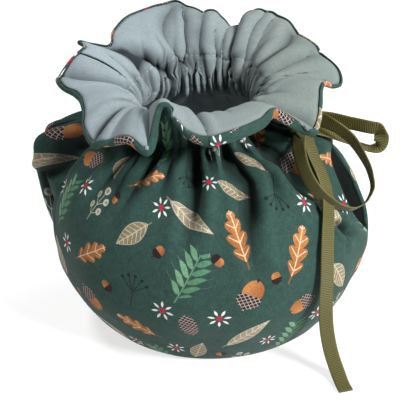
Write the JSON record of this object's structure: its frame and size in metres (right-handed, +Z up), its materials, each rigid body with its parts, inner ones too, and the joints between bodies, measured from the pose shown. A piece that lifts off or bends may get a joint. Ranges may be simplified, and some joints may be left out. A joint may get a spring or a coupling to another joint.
{
  "type": "tea cosy",
  "caption": "Gathered cloth tea cosy in printed cotton, with lined frilled neck, spout and handle openings and a ribbon bow.",
  "frame": {"origin": "middle of the bounding box at the floor, measured without the ribbon", "axes": "+Z up, +X towards the handle opening, -X towards the spout opening, -Y the front panel"},
  "size_m": [0.2063, 0.1648, 0.1769],
  "materials": {
    "print_cotton": "matt printed cotton, dark teal green with autumn leaves",
    "lining_cotton": "matt plain cotton, pale duck-egg blue",
    "ribbon": "ribbed grosgrain ribbon, olive green"
  },
  "bodies": {
    "root": {"front_panel": "print_cotton", "back_panel": "print_cotton", "front_lining": "lining_cotton", "back_lining": "lining_cotton", "ribbon_tie": "ribbon"}
  },
  "joints": []
}
